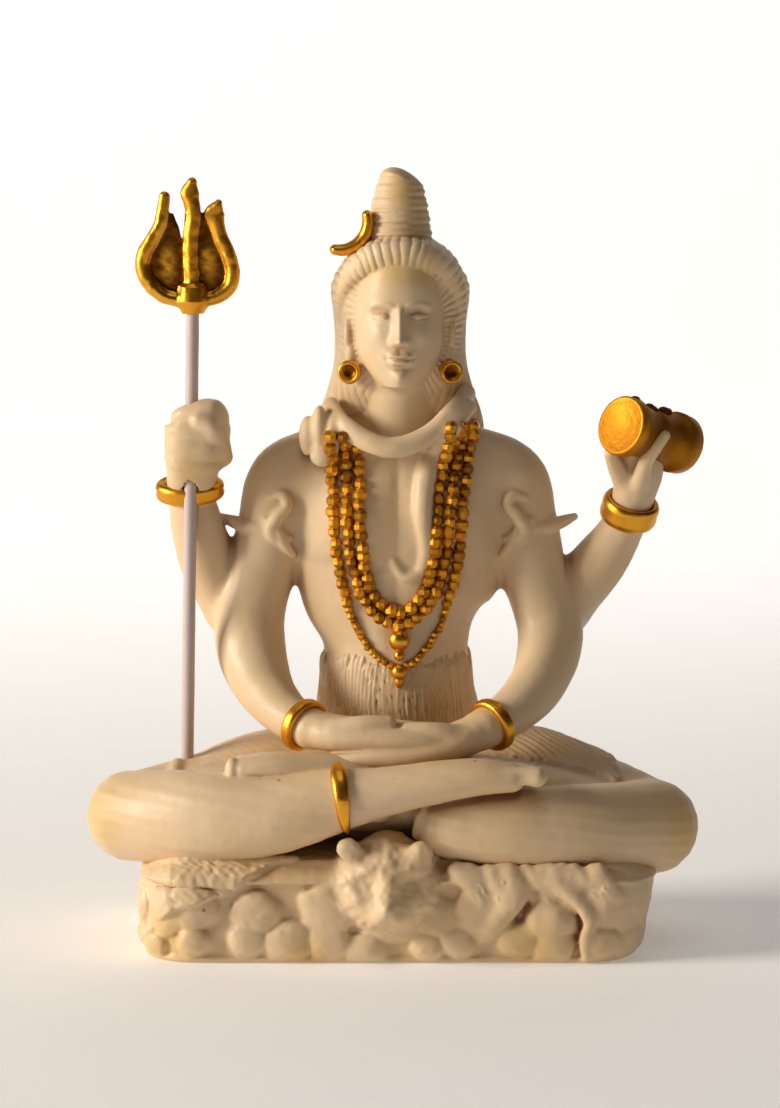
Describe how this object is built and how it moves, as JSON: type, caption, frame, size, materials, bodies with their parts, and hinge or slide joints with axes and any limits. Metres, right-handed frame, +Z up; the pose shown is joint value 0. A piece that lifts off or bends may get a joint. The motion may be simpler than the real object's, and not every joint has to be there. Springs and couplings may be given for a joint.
{
  "type": "shiva figure",
  "caption": "Small cast figure of Shiva in meditation, cross-legged on a rock with a tiger skin, a trident through one raised fist and a small drum in the other raised hand.",
  "frame": {"origin": "centre of the rock's flat underside, on the surface that the figure stands on", "axes": "+Z up through the head, -Y the way the figure faces, +X towards the figure's own left hand"},
  "size_m": [0.0955, 0.0496, 0.1201],
  "materials": {
    "resin": "satin",
    "gold": "satin",
    "rod_paint": "satin"
  },
  "bodies": {
    "root": {"figure": "resin", "trident_rod": "rod_paint", "trident_head": "gold"}
  },
  "joints": []
}
